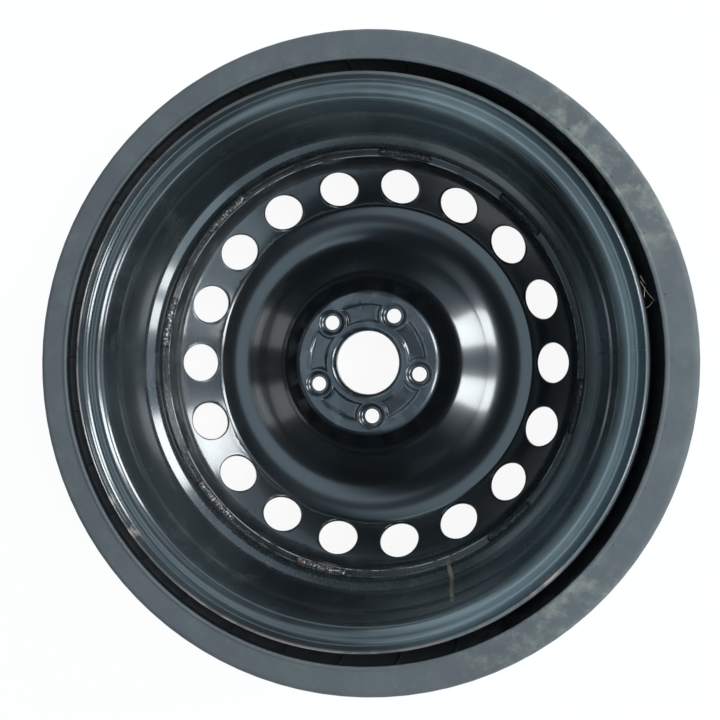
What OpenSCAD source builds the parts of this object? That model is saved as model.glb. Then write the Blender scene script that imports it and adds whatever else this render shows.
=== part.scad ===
// Folding spare wheel: a rolled steel rim, a pressed steel disc welded into its well,
// a tyre whose sidewalls are folded in under the tread, and a snap-in tyre valve.
// Millimetres. The origin is the centre of the hub mounting face, and +Z points
// to the inboard side, the side that faces the hub.

/* [Rim] */
// Diameter over the bead seats, at the foot of each flange
rim_d = 462; // [440:0.5:490]
// Width between the two flange walls
rim_w = 165.1; // [158:0.1:185]
// How far the rim's centre plane lies inboard of the hub face
offset_z = 36; // [30:0.5:42]
// Thickness of the rim sheet
rim_t = 3; // [2.4:0.1:3.6]
// Height of a flange above the bead seat
flange_h = 17.3; // [16.6:0.1:19]
// Width of the rolled flange, from its wall to its edge
flange_w = 12; // [11:0.1:14]
// Radius of the rolled flange, on the tyre side
flange_r = 9.5; // [8.5:0.1:10]
// Radius between flange and bead seat, on the tyre side
heel_r = 6.5; // [6:0.1:7]
// Width of a bead seat, from the flange wall to the hump
seat_w = 21; // [19:0.5:23]
// Slope of a bead seat
seat_angle = 5; // [4:0.5:6]
// Height of the hump above the line of the bead seat
hump_h = 1.4; // [0.9:0.1:2]
// Width of half a hump
hump_w = 4.5; // [4:0.5:6]
// Depth of the well floor below the bead seats
well_depth = 16.25; // [14:0.25:19]
// Length of well floor past the disc's corner, on the outboard side
well_before = 5; // [4:0.5:8]
// Length of well floor past the weld, on the inboard side
well_after = 17; // [12:0.5:20]
// Length of the sloping flank between the well and the inboard ledge
flank_w = 11; // [9:0.5:16]
// Drop of the inboard ledge below the bead seats, where it meets the flank
ledge_drop = 7; // [6:0.25:8]

/* [Disc] */
// Thickness of the disc sheet
disc_t = 4; // [3.5:0.1:4.5]
// Diameter of the hub bore
bore_d = 66.6; // [57:0.1:72]
// Depth of the drawn collar round the hub bore
collar_h = 10.5; // [8:0.5:12]
// Diameter at which the hub plate bends down
plate_d = 148.4; // [144:0.2:156]
// Width of the sloping wall round the hub plate
wall_w = 18.8; // [16:0.2:22]
// Drop of that wall
wall_drop = 16.9; // [14:0.1:18]
// Place of the trough's deepest corner, as a share of the way from the wall to the skirt
trough_share = 0.418; // [0.36:0.002:0.46]
// Depth of that corner below the hub face, as a share of the same way
trough_fall = 0.334; // [0.3:0.002:0.36]
// How much of the room beside the trough its rounding takes
trough_round = 0.97; // [0.5:0.01:1]
// Place of the crease of the vent band, as a share of the same way
knee_share = 0.682; // [0.65:0.002:0.72]
// Depth of the crease, as a share of the same way
knee_fall = 0.268; // [0.24:0.002:0.29]
// Height above the hub face at which the vent band meets the skirt
skirt_z = 5.7; // [3:0.1:9]
// Length of the skirt that fits the well
skirt_l = 17.7; // [15:0.1:24]

/* [Bolt holes and vents] */
// Number of bolt holes
bolt_count = 5; // [4:1:5]
// Diameter of the bolt circle
bolt_circle_d = 112; // [108:0.1:115]
// Diameter of a bolt hole
bolt_hole_d = 15; // [13:0.1:16]
// Angle of the first bolt hole from the first vent
bolt_turn = -12.4; // [-36:0.1:36]
// Radius of the ball seat for a wheel bolt
ball_r = 13; // [12:0.1:14]
// Diameter of the mouth of a ball seat
ball_mouth_d = 21; // [19:0.1:22]
// Height of the raised ring round a ball seat
seat_rise = 2.6; // [2:0.1:3]
// Diameter of the dimple round a bolt hole, on the hub side
dimple_d = 28; // [24:0.1:28]
// Depth of that dimple
dimple_h = 2.3; // [1.5:0.1:2.4]
// Diameter of the inner edge of the pockets between the bolt holes
pocket_in_d = 85; // [82:0.5:94]
// Width of a pocket
pocket_w = 19.5; // [12:0.5:20]
// Depth of a pocket
pocket_h = 1.6; // [0.8:0.1:2]
// Land left between a dimple and the end of a pocket
pocket_land = 1.5; // [1:0.25:5]
// Number of vents
vent_count = 18; // [12:1:20]
// Diameter of a vent, as a share of the vent band's width
vent_fill = 0.794; // [0.6:0.002:0.82]
// Place of the vents across the band, from the crease to the skirt
vent_share = 0.45; // [0.44:0.002:0.5]

/* [Welds] */
// Number of places with a pair of weld stitches
weld_pairs = 4; // [3:1:6]
// Angle that one stitch covers
weld_angle = 14; // [10:0.5:18]
// Angle between the two stitches of a pair
weld_step = 35.5; // [24:0.5:36]
// Angle of the first stitch from the first vent
weld_turn = 36; // [0:0.5:90]
// Radius of the bead of a stitch
weld_r = 3.9; // [3:0.1:4.5]

/* [Tyre] */
// Width of the open groove between the flange and the tyre's side ring
groove_w = 11.6; // [9.5:0.1:15]
// Width of the side ring, from its lip to the tread
ring_w = 27.6; // [24:0.1:34]
// How far the side ring lies inside the plane of the flange edge
ring_inset = 3.5; // [2:0.1:6]
// Thickness of the sidewall
wall_t = 6; // [5:0.1:7]
// Depth of the folded sidewall below the side ring
fold_depth = 46; // [36:0.5:52]
// Gap between the two layers of the fold
fold_gap = 7.5; // [6.5:0.1:8.5]
// How far the fold lies outside the lip
fold_out = 2.1; // [1.5:0.1:3]
// Height of the moulded lip on the side ring
lip_h = 0.8; // [0.4:0.1:1.5]
// Radius of the shoulder
shoulder_r = 7; // [5:0.5:9]
// Rise of the tread from shoulder to centre line
crown_rise = 5; // [2:0.5:7]
// Thickness of the tread at the shoulder
tread_t = 10; // [9:0.5:13]
// Distance between two tread grooves
tread_pitch = 33; // [28:0.5:35]
// Width of a tread groove
tread_groove_w = 8; // [5:0.5:10]
// Depth of a tread groove
tread_groove_h = 5; // [3:0.5:6]
// Number of slots in each shoulder rib
slot_count = 48; // [24:1:60]
// Width of a shoulder slot
slot_w = 4; // [2:0.5:6]
// Depth of a shoulder slot
slot_h = 4; // [2:0.5:5]

/* [Tyre valve] */
// The vent before the valve, which stands midway between two vents
valve_gap = 10; // [0:1:17]
// Diameter of the valve hole in the rim
valve_hole_d = 11.5; // [11.3:0.1:12.5]
// Diameter of the rubber foot inside the tyre
foot_d = 17; // [15:0.5:19]
// Thickness of the rubber foot
foot_h = 4.5; // [3.5:0.5:6]
// Diameter of the bulb that holds the valve in the rim
bulb_d = 15; // [14:0.1:16]
// Diameter of the rubber body
rubber_d = 12.6; // [11.5:0.1:14]
// Length of the rubber body outside the rim
rubber_l = 22; // [20:0.5:24]
// Diameter of the brass stem
stem_d = 7.7; // [7.5:0.1:8.5]
// Length of threaded stem that stands out of the rubber
thread_l = 9; // [8:0.5:10]
// Bore for the head of the valve core
core_bore_d = 5.3; // [5:0.1:5.6]
// Bore for the barrel of the valve core
barrel_bore_d = 4; // [3.8:0.1:4.4]
// Length of the barrel of the valve core
barrel_l = 10; // [9:0.5:13]
// Travel of the valve pin
pin_travel = 1.5; // [1:0.1:2]
// Diameter of the valve pin
pin_d = 0.9; // [0.8:0.05:1]
// Number of turns of the core spring
spring_turns = 6; // [4:1:8]
// Diameter of the spring wire
spring_wire_d = 0.28; // [0.2:0.02:0.34]
// Outside diameter of the cap
cap_d = 10.6; // [10.5:0.1:12]
// Thickness of the cap's end
cap_end_t = 2; // [1.5:0.1:3]
// Number of grip flutes round the cap
flute_count = 16; // [13:1:20]

/* [Hidden] */

$fn = 96;
// Facets on the large rings
ring_fn = 240;
// Largest turn between two points of a rounded corner
step_angle = 9;
// Clearance between the tyre and the rim
tyre_clear = 0.2;
// Clearance between pieces that only just touch
touch = 0.05;
// Running clearance round the pin, cap and core
run_clear = 0.1;

steel_black = [0.06, 0.065, 0.07];
weld_grey = [0.3, 0.29, 0.28];
tyre_grey = [0.17, 0.18, 0.18];
rubber_black = [0.07, 0.07, 0.07];
brass = [0.78, 0.62, 0.3];
cap_black = [0.1, 0.1, 0.1];

// Rim, measured from its own centre plane
half_w = rim_w / 2;
seat_at = rim_d / 2;
flange_at = seat_at + flange_h;
edge_at = half_w + flange_w;
well_at = seat_at - well_depth;
hump_foot = [seat_at - seat_w * tan(seat_angle), half_w - seat_w];
hump_top = [hump_foot[0] - hump_w * tan(seat_angle) + hump_h, hump_foot[1] - hump_w];
hump_end = [hump_foot[0] - 2 * hump_w * tan(seat_angle), hump_top[1] - hump_w];

// Disc, measured from the hub face
skirt_out = well_at - rim_t;
skirt_in = skirt_out - disc_t;
skirt_end = skirt_z + skirt_l;
bore_r = bore_d / 2;
wall_foot = [plate_d / 2 + wall_w, -wall_drop];
disc_way = skirt_in - wall_foot[0];
trough = [wall_foot[0] + trough_share * disc_way, -trough_fall * disc_way];
knee = [wall_foot[0] + knee_share * disc_way, -knee_fall * disc_way];
skirt_corner = [skirt_in, skirt_z];
band_angle = atan2(skirt_corner[1] - knee[1], skirt_corner[0] - knee[0]);
knee_r = 2 * disc_t;
trough_out = norm(knee - trough) - knee_r * tan(bend_at(trough, knee, skirt_corner) / 2) - 0.5;
trough_r = trough_round * trough_out / tan(bend_at(wall_foot, trough, knee) / 2);
vent_at = knee + vent_share * (skirt_corner - knee);
vent_d = vent_fill * norm(skirt_corner - knee);
bolt_r = bolt_circle_d / 2;

// Well floor in the rim's own frame
well_low = skirt_z - well_before - offset_z;
well_high = skirt_end + well_after - offset_z;
ledge_end = [seat_at - ledge_drop, well_high + flank_w];
flank_top = [hump_top[0], -hump_top[1]];

// Tyre, measured from the rim's centre plane
lip_at = flange_at + groove_w;
ring_face = edge_at - ring_inset;
tread_edge = lip_at + ring_w;
fold_top = lip_at + fold_out;
fold_low = fold_top - fold_gap;
fold_end = ring_face - fold_depth;
bead_face = half_w - tyre_clear;

// Valve, measured along its axis from the rim's inner surface
valve_foot = [well_at, well_low];
valve_slope = atan2(flank_top[0] - well_at, well_low - flank_top[1]);
valve_mid = (valve_foot + flank_top) / 2;
valve_turn = (valve_gap + 0.5) * 360 / vent_count;
stem_end = rubber_l + thread_l;
stem_start = -rim_t - tyre_clear - foot_h;
plug_top = stem_end - 1;
plug_h = 3.8;
barrel_top = plug_top - plug_h - touch;
barrel_end = barrel_top - barrel_l;
barrel_r = barrel_bore_d / 2 - 0.3;
spring_room = barrel_r - 0.5;
collar_top = barrel_top - 1.5;
seal_t = 0.8;
cup_t = 1;
cap_bore_r = stem_d / 2 + run_clear;
cap_low = rubber_l + 0.6;
gasket_t = 1.5;
cap_top = stem_end + touch + gasket_t + touch + cap_end_t;

function unit(v) = v / norm(v);
function left(v) = [-v[1], v[0]];
function turned(v, a) = [v[0] * cos(a) - v[1] * sin(a), v[0] * sin(a) + v[1] * cos(a)];
function bend_at(a, b, c) = acos(unit(b - a) * unit(c - b));
function across(u, v) = u[0] * v[1] - u[1] * v[0];
function reversed(list) = [for (i = [len(list) - 1 : -1 : 0]) list[i]];
function mirrored(path) = [for (p = path) [p[0], -p[1]]];
function points(corners) = [for (c = corners) [c[0], c[1]]];

// A path of corners [x, y, radius], rounded at each radius and shifted off to the left
function rounded(corners, off = 0) =
    let (p = points(corners), last = len(corners) - 1) [
        for (i = [0 : last])
            if (i == 0) p[0] + off * left(unit(p[1] - p[0]))
            else if (i == last) p[last] + off * left(unit(p[last] - p[last - 1]))
            else let (
                    u = unit(p[i] - p[i - 1]),
                    v = unit(p[i + 1] - p[i]),
                    turn = atan2(across(u, v), u * v),
                    r = corners[i][2],
                    centre = p[i] - u * r * tan(abs(turn) / 2) + sign(turn) * r * left(u),
                    reach = off - sign(turn) * r,
                    steps = reach == 0 ? 0 : ceil(abs(turn) / step_angle)
                )
                each [for (k = [0 : steps]) centre + reach * turned(left(u), turn * k / max(steps, 1))]
    ];

// Section of a bent sheet: the path is one face, and the sheet lies to its right
module sheet(corners, t) {
    polygon(concat(rounded(corners), reversed(rounded(corners, -t))));
}

module about_axis() {
    rotate_extrude($fn = ring_fn) children();
}

// Places a child on the valve's axis, with the rim's inner surface at height 0
module on_valve() {
    rotate([0, 0, valve_turn])
        translate([valve_mid[0], 0, valve_mid[1] + offset_z])
            rotate([0, -90 - valve_slope, 0])
                translate([0, 0, rim_t])
                    children();
}

module tube(r_out, r_in, low, high, fn = 48) {
    translate([0, 0, low])
        difference() {
            cylinder(r = r_out, h = high - low, $fn = fn);
            translate([0, 0, -1]) cylinder(r = r_in, h = high - low + 2, $fn = fn);
        }
}

// Tyre side of the rim, from the inboard edge to the outboard edge, as [radius, height, bend]
rim_path = [
    [flange_at, edge_at, 0],
    [flange_at, half_w, flange_r],
    [seat_at, half_w, heel_r],
    [hump_foot[0], hump_foot[1], 5],
    [hump_top[0], hump_top[1], 5],
    [hump_end[0], hump_end[1], 6],
    [ledge_end[0], ledge_end[1], 12],
    [well_at, well_high, 9],
    [well_at, well_low, 9],
    [flank_top[0], flank_top[1], 6],
    [hump_foot[0], -hump_foot[1], 6],
    [seat_at, -half_w, heel_r],
    [flange_at, -half_w, flange_r],
    [flange_at, -edge_at, 0]
];

module rim() {
    color(steel_black)
        difference() {
            translate([0, 0, offset_z])
                about_axis() sheet(rim_path, rim_t);
            on_valve()
                translate([0, 0, -3 * rim_t]) cylinder(d = valve_hole_d, h = 5 * rim_t, $fn = 64);
        }
}

// Hub side of the disc, from the collar to the edge of the skirt, as [radius, height, bend]
disc_path = [
    [bore_r, -collar_h, 0],
    [bore_r, 0, disc_t + 1],
    [plate_d / 2, 0, 2 * disc_t],
    [wall_foot[0], wall_foot[1], 3 * disc_t],
    [trough[0], trough[1], trough_r],
    [knee[0], knee[1], knee_r],
    [skirt_in, skirt_z, 3.5 * disc_t],
    [skirt_in, skirt_end, 0]
];

// The pockets between the bolt holes: a ring, less a round land about each hole
module pockets(h) {
    linear_extrude(h)
        difference() {
            circle(d = pocket_in_d + 2 * pocket_w, $fn = 120);
            circle(d = pocket_in_d, $fn = 120);
            for (i = [0 : bolt_count - 1])
                rotate(bolt_turn + i * 360 / bolt_count)
                    translate([bolt_r, 0]) circle(r = dimple_d / 2 + pocket_land, $fn = 64);
        }
}

module at_bolts(turn = 0) {
    for (i = [0 : bolt_count - 1])
        rotate([0, 0, bolt_turn + turn + i * 360 / bolt_count]) children();
}

module at_vents() {
    for (i = [0 : vent_count - 1])
        rotate([0, 0, i * 360 / vent_count])
            translate([vent_at[0], 0, vent_at[1]])
                rotate([0, -band_angle, 0])
                    children();
}

module wheel_disc() {
    ball_at = -disc_t - seat_rise - sqrt(pow(ball_r, 2) - pow(ball_mouth_d / 2, 2));
    ring_r = ball_mouth_d / 2 + 1.2;
    color(steel_black)
        difference() {
            union() {
                about_axis() sheet(disc_path, disc_t);
                // Raised rings round the ball seats, and the backs of the pockets
                at_bolts()
                    translate([bolt_r, 0, -disc_t - seat_rise])
                        cylinder(r1 = ring_r, r2 = ring_r + seat_rise + 1, h = seat_rise + 1, $fn = 64);
                translate([0, 0, -disc_t - pocket_h]) pockets(2 * pocket_h);
            }
            at_bolts() translate([bolt_r, 0, -3 * disc_t]) cylinder(d = bolt_hole_d, h = 4 * disc_t, $fn = 64);
            at_bolts() translate([bolt_r, 0, ball_at]) sphere(r = ball_r, $fn = 96);
            at_bolts()
                translate([bolt_r, 0, -dimple_h])
                    cylinder(r1 = dimple_d / 2 - 1.8 * dimple_h, r2 = dimple_d / 2, h = dimple_h, $fn = 64);
            translate([0, 0, -pocket_h]) pockets(2 * pocket_h);
            at_vents() translate([0, 0, -4 * disc_t]) cylinder(d = vent_d, h = 7 * disc_t, $fn = 72);
        }
}

// One stitch: a bead between the edge of the skirt and the well
module weld_stitches() {
    bead_at = [skirt_out - 0.2, skirt_end + 2.4];
    color(weld_grey)
        for (i = [0 : weld_pairs - 1], side = [0, 1])
            rotate([0, 0, weld_turn + i * 360 / weld_pairs + side * weld_step])
                rotate_extrude(angle = weld_angle, $fn = ring_fn)
                    intersection() {
                        translate(bead_at) circle(r = weld_r, $fn = 32);
                        translate([skirt_out - 3 * weld_r, skirt_end]) square(3 * weld_r);
                    }
}

// Radius of the tread at a distance from the centre line
function tread_at(u) = tread_edge + crown_rise * (1 - pow(u / ring_face, 2));

// Half of the tyre's outside, from the centre line to the bead's toe
tread_half = [
    [tread_at(0), 0, 0],
    for (k = [0, 1])
        let (
            g = tread_pitch * (k + 0.5),
            low = g - tread_groove_w / 2,
            high = g + tread_groove_w / 2,
            floor_r = tread_at(g) - tread_groove_h
        )
        each [
            [tread_at(low), low, 0],
            [floor_r, low + 0.8, 0.5],
            [floor_r, high - 0.8, 0.5],
            [tread_at(high), high, 0]
        ]
];

fold_half = [
    [tread_edge, ring_face - 0.5, shoulder_r],
    [lip_at + 4, ring_face - 0.2, 0],
    [lip_at + 2.4, ring_face + lip_h, 0.6],
    [lip_at, ring_face + lip_h, 1],
    [lip_at, ring_face - 3, 2],
    [fold_top, ring_face - 9, 6],
    [fold_top, fold_end, fold_gap / 2 - 0.1],
    [fold_low, fold_end, fold_gap / 2 - 0.1],
    [fold_low, bead_face, 10],
    [seat_at + tyre_clear, bead_face, heel_r + 0.3],
    [hump_foot[0] + tyre_clear, hump_foot[1] + 1, 2]
];

// Half of the tyre's inside, from the toe to the centre line
inside_half = [
    [hump_foot[0] + 0.8 * wall_t, hump_foot[1] + 1, 2],
    [seat_at + 2 * wall_t, bead_face - 1.25 * wall_t, wall_t / 2],
    [fold_low - wall_t, bead_face - wall_t, wall_t / 3],
    [fold_low - wall_t, fold_end - wall_t, fold_gap / 2 + wall_t - 0.2],
    [fold_top + wall_t, fold_end - wall_t, fold_gap / 2 + wall_t - 0.2],
    [fold_top + wall_t, ring_face - wall_t, 3],
    [tread_edge - tread_t, ring_face - wall_t, 4],
    [tread_at(0) - tread_t - 3, 0, 0]
];

tyre_half = rounded(concat(tread_half, fold_half, inside_half));

module tyre() {
    slot_start = tread_pitch * 1.5;
    slot_end = ring_face - shoulder_r - 6;
    color(tyre_grey)
        translate([0, 0, offset_z])
            difference() {
                about_axis() polygon(concat(tyre_half, reversed(mirrored(tyre_half))));
                for (i = [0 : slot_count - 1], side = [0, 1])
                    mirror([0, 0, side])
                        rotate([0, 0, (i + side / 2) * 360 / slot_count])
                            translate([tread_edge - slot_h, -slot_w / 2, slot_start])
                                cube([slot_h + 3 * crown_rise, slot_w, slot_end - slot_start]);
            }
}

module valve_body() {
    neck_r = valve_hole_d / 2 - touch;
    bulb_r = bulb_d / 2;
    body_r = rubber_d / 2;
    foot_r = foot_d / 2;
    foot_top = -rim_t - tyre_clear;
    outline = rounded([
        [stem_d / 2 + touch, stem_start, 0],
        [foot_r - 2, stem_start, 1.5],
        [foot_r, stem_start + 2, 1],
        [foot_r, foot_top, 0.3],
        [neck_r, foot_top, 0.3],
        [neck_r, tyre_clear, 0.3],
        [bulb_r, tyre_clear, 0.4],
        [bulb_r, 2.6, 2],
        [body_r, 8, 12],
        [body_r, rubber_l - 3, 6],
        [body_r - 1, rubber_l, 0.8],
        [stem_d / 2 + touch, rubber_l, 0]
    ]);
    color(rubber_black)
        on_valve() rotate_extrude($fn = 64) polygon(outline);
}

module valve_stem() {
    stem_r = stem_d / 2;
    head_r = core_bore_d / 2;
    deep_r = barrel_bore_d / 2;
    seat_top = barrel_top - 1.5;
    color(brass)
        on_valve()
            rotate_extrude($fn = 64)
                polygon([
                    [deep_r, stem_start],
                    [stem_r, stem_start],
                    [stem_r, stem_end - 0.5],
                    [stem_r - 0.5, stem_end],
                    [head_r + 0.2, stem_end],
                    [head_r, stem_end - 0.2],
                    [head_r, seat_top],
                    [deep_r, seat_top - 1.2]
                ]);
}

// The threaded head of the valve core, with two flats that let the air past
module core_plug() {
    head_r = core_bore_d / 2 - run_clear;
    color(brass)
        on_valve()
            difference() {
                tube(head_r, pin_d / 2 + 0.5, plug_top - plug_h, plug_top);
                for (side = [0, 180])
                    rotate([0, 0, side])
                        translate([head_r - 0.5, -head_r, plug_top - plug_h - 1])
                            cube([2, 2 * head_r, plug_h + 2]);
            }
}

// The barrel of the valve core: closed at both ends but for the pin's passage
module core_barrel() {
    pin_way = pin_d / 2 + 0.15;
    color(brass)
        on_valve()
            rotate_extrude($fn = 48)
                polygon([
                    [pin_way, barrel_end],
                    [barrel_r, barrel_end],
                    [barrel_r, barrel_top],
                    [pin_way, barrel_top],
                    [pin_way, barrel_top - 1],
                    [spring_room, barrel_top - 1],
                    [spring_room, barrel_end + 1],
                    [pin_way, barrel_end + 1]
                ]);
}

module barrel_gasket() {
    gasket_in = barrel_r + touch / 2;
    gasket_out = core_bore_d / 2 - run_clear;
    seat_low = barrel_bore_d / 2;
    top = barrel_top - 0.6;
    low = barrel_top - 2.5;
    color(rubber_black)
        on_valve()
            rotate_extrude($fn = 48)
                polygon([
                    [gasket_in, low],
                    [seat_low, low],
                    [gasket_out, barrel_top - 1.5 + touch],
                    [gasket_out, top],
                    [gasket_in, top]
                ]);
}

function coil_point(t, low, rise, r, turns, wire_r, a) =
    let (out = r + wire_r * cos(a))
    [out * cos(360 * turns * t), out * sin(360 * turns * t), low + rise * t + wire_r * sin(a)];

// A round wire wound into a coil, as one closed surface
module coil(low, high, r, turns, wire_r, round = 6, per_turn = 16) {
    rings = turns * per_turn;
    skin = [for (i = [0 : rings], k = [0 : round - 1])
        coil_point(i / rings, low + wire_r, high - low - 2 * wire_r, r, turns, wire_r, k * 360 / round)];
    sides = [for (i = [0 : rings - 1], k = [0 : round - 1])
        let (next = (k + 1) % round)
        [i * round + k, (i + 1) * round + k, (i + 1) * round + next, i * round + next]];
    polyhedron(
        skin,
        concat(sides, [[for (k = [0 : round - 1]) k], [for (k = [round - 1 : -1 : 0]) rings * round + k]])
    );
}

module core_spring() {
    coil_r = (pin_d / 2 + 0.1 + spring_room) / 2;
    color("silver")
        on_valve()
            coil(barrel_end + 1 + touch, collar_top - 0.4 - touch, coil_r, spring_turns, spring_wire_d / 2);
}

// The pin: a button at the mouth, a collar that the spring lifts, and a tail in the cup
module core_pin() {
    pin_r = pin_d / 2;
    pin_low = barrel_end - seal_t - cup_t;
    collar_r = spring_room - run_clear;
    color("gold")
        on_valve()
            union() {
                translate([0, 0, pin_low]) cylinder(r = pin_r, h = plug_top - 0.4 - pin_low, $fn = 24);
                translate([0, 0, plug_top - 0.9]) cylinder(r = pin_r + 0.35, h = 0.6, $fn = 24);
                translate([0, 0, collar_top - 0.4]) cylinder(r = collar_r, h = 0.4, $fn = 24);
            }
}

module core_cup() {
    low = barrel_end - seal_t - cup_t;
    cup_r = barrel_r - run_clear;
    color(brass)
        on_valve()
            difference() {
                tube(cup_r, pin_d / 2 + touch / 2, low, low + cup_t + seal_t / 2, 24);
                translate([0, 0, low + cup_t - touch])
                    cylinder(r = cup_r - 0.25, h = seal_t, $fn = 24);
            }
}

module cup_seal() {
    seal_r = barrel_r - run_clear - 0.3;
    low = barrel_end - seal_t;
    color(rubber_black)
        on_valve() tube(seal_r, pin_d / 2 + touch / 2, low, barrel_end - touch / 2, 24);
}

module valve_cap() {
    cap_r = cap_d / 2;
    inner_top = stem_end + touch + gasket_t + touch;
    color(cap_black)
        on_valve()
            difference() {
                rotate_extrude($fn = 64)
                    polygon([
                        [cap_bore_r, cap_low],
                        [cap_r, cap_low],
                        [cap_r, cap_top - 1.2],
                        [cap_r - 1.2, cap_top],
                        [0, cap_top],
                        [0, inner_top],
                        [cap_bore_r, inner_top]
                    ]);
                for (i = [0 : flute_count - 1])
                    rotate([0, 0, i * 360 / flute_count])
                        translate([cap_r + 0.25, 0, cap_low + 1.5])
                            cylinder(r = 0.7, h = cap_top, $fn = 16);
            }
}

module cap_gasket() {
    color(rubber_black)
        on_valve()
            translate([0, 0, stem_end + touch])
                cylinder(r = cap_bore_r - run_clear, h = gasket_t, $fn = 48);
}

rim();
wheel_disc();
weld_stitches();
tyre();
valve_body();
valve_stem();
core_plug();
core_barrel();
barrel_gasket();
core_spring();
core_pin();
core_cup();
cup_seal();
valve_cap();
cap_gasket();
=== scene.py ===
# %% [markdown]
# # A spare wheel with a folding tyre
#
# The wheel lies flat on its outer flange, with the side that faces the hub turned up.
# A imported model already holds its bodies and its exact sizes. This lesson dresses that
# model: it makes finer meshes where gloss paint would show facets, and gives every
# piece a finish made of nodes. All lengths below are millimetres until `metres()`.

# %% Load the frame
import math
import bmesh
import bpy
import numpy as np
from mathutils import Matrix, Vector


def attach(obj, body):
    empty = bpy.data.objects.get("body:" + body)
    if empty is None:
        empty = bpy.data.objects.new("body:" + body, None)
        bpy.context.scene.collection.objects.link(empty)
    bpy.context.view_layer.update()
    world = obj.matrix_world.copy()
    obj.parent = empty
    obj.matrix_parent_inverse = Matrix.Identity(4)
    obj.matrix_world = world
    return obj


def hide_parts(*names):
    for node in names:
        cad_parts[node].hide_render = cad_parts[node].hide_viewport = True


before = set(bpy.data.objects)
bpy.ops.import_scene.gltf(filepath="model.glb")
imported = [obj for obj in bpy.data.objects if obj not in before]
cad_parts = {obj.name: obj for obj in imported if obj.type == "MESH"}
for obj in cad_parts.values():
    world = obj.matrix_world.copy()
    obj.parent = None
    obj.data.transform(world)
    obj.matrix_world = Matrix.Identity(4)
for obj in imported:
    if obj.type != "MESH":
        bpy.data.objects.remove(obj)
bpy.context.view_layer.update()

# %% [markdown]
# ## Sheet profiles
#
# Rim and disc are bent from flat sheet, so one path with rounded corners describes each.
# The same rounding rule is used in the solid model, so both fit each other. A corner is
# [radius from the axis, height, bend]. Short holding steps beside each bend keep the
# reflections on the flat stretches straight. `off` shifts the path sideways, which gives
# the other face of the sheet.

# %% Rounded paths
def unit(v):
    return v / np.linalg.norm(v)


def left_of(v):
    return np.array([-v[1], v[0]])


def turned(v, a):
    return np.array([v[0] * math.cos(a) - v[1] * math.sin(a),
                     v[0] * math.sin(a) + v[1] * math.cos(a)])


def rounded(corners, off=0.0, turn_step=4.0, hold=0.0):
    """Points of a path whose corners are bends, with one step for each small turn."""
    points = [np.array(c[:2], float) for c in corners]
    out = [points[0] + off * left_of(unit(points[1] - points[0]))]
    for i in range(1, len(points) - 1):
        before = unit(points[i] - points[i - 1])
        after = unit(points[i + 1] - points[i])
        turn = math.atan2(before[0] * after[1] - before[1] * after[0], float(before @ after))
        side, r = (1 if turn > 0 else -1), corners[i][2]
        tangent_start = points[i] - before * r * math.tan(abs(turn) / 2)
        centre = tangent_start + side * r * left_of(before)
        reach = off - side * r
        steps = max(1, math.ceil(abs(math.degrees(turn)) / turn_step)) if r else 0
        arc = [centre + reach * turned(left_of(before), turn * k / max(steps, 1))
               for k in range(steps + 1)]
        if hold and r:
            arc = [arc[0] - before * hold] + arc + [arc[-1] + after * hold]
        out += arc
    return out + [points[-1] + off * left_of(unit(points[-1] - points[-2]))]


# %% [markdown]
# ## Sizes
#
# The rim's heights are measured from its middle plane, which lies `OFFSET` above the hub's
# face. The disc's heights are measured from the hub's face itself. The trough and the knee
# of the disc are shares of the way from the wall's foot to the skirt, so they follow when
# the rim gets another diameter. The bowl runs up to 4 mm deeper than in the solid model,
# because its reflections need that slope.

# %% Sizes of the rim
RIM_T, OFFSET = 3.0, 36.0
FLANGE_R, HEEL_R, HUMP_R, TOE_R, WELL_R = 248.3, 231.0, 230.169, 229.163, 214.75
HALF_W = 82.55
FLANGE_TOP, HUMP, TOE = HALF_W + 12, HALF_W - 25.5, HALF_W - 21
RIM = [
    [FLANGE_R, FLANGE_TOP, 0], [FLANGE_R, HALF_W, 9.5], [HEEL_R, HALF_W, 6.5],
    [TOE_R, TOE, 5], [HUMP_R, HUMP, 5], [228.376, HALF_W - 30, 6], [224, 15.4, 12],
    [WELL_R, 4.4, 9], [WELL_R, -35.3, 9],
    [HUMP_R, -HUMP, 6], [TOE_R, -TOE, 6], [HEEL_R, -HALF_W, 6.5],
    [FLANGE_R, -HALF_W, 9.5], [FLANGE_R, -FLANGE_TOP, 0],
]
print("rim", 2 * HALF_W, "mm between the flanges")


# %% Sizes of the disc
def heading(a, b):
    return math.atan2(b[1] - a[1], b[0] - a[0])


DISC_T, BORE_R, PLATE_R, SKIRT_TOP = 4.0, 33.3, 74.2, 23.4
SKIRT, WALL_FOOT, KNEE_BEND = (207.75, 5.7), (93.0, -20.7), 8.0
WAY = SKIRT[0] - WALL_FOOT[0]
TROUGH = (WALL_FOOT[0] + 0.464 * WAY, -0.3225 * WAY)
KNEE = (WALL_FOOT[0] + 0.682 * WAY, -0.268 * WAY)
BAND, BAND_LENGTH = heading(KNEE, SKIRT), math.dist(KNEE, SKIRT)
RISE = heading(TROUGH, KNEE)
trough_room = math.dist(TROUGH, KNEE) - KNEE_BEND * math.tan((BAND - RISE) / 2) - 0.5
TROUGH_BEND = 0.97 * trough_room / math.tan((RISE - heading(WALL_FOOT, TROUGH)) / 2)
DISC = [
    [BORE_R, -10.5, 0], [BORE_R, 0, 5], [PLATE_R, 0, 8], [*WALL_FOOT, 30],
    [*TROUGH, TROUGH_BEND], [*KNEE, KNEE_BEND], [*SKIRT, 14], [SKIRT[0], SKIRT_TOP, 0],
]
VENT_SHARE = 0.45
VENT_AT = (KNEE[0] + VENT_SHARE * (SKIRT[0] - KNEE[0]),
           KNEE[1] + VENT_SHARE * (SKIRT[1] - KNEE[1]))
VENT_R, VENTS = 0.794 * BAND_LENGTH / 2, 18
BOLT_AT, BOLT_TURN, BOLTS = 56.0, math.radians(-12.4), 5
BOLT_HOLE_R = 7.5
print("trough bend", round(TROUGH_BEND, 1), "vent radius", round(VENT_R, 2))

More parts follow.
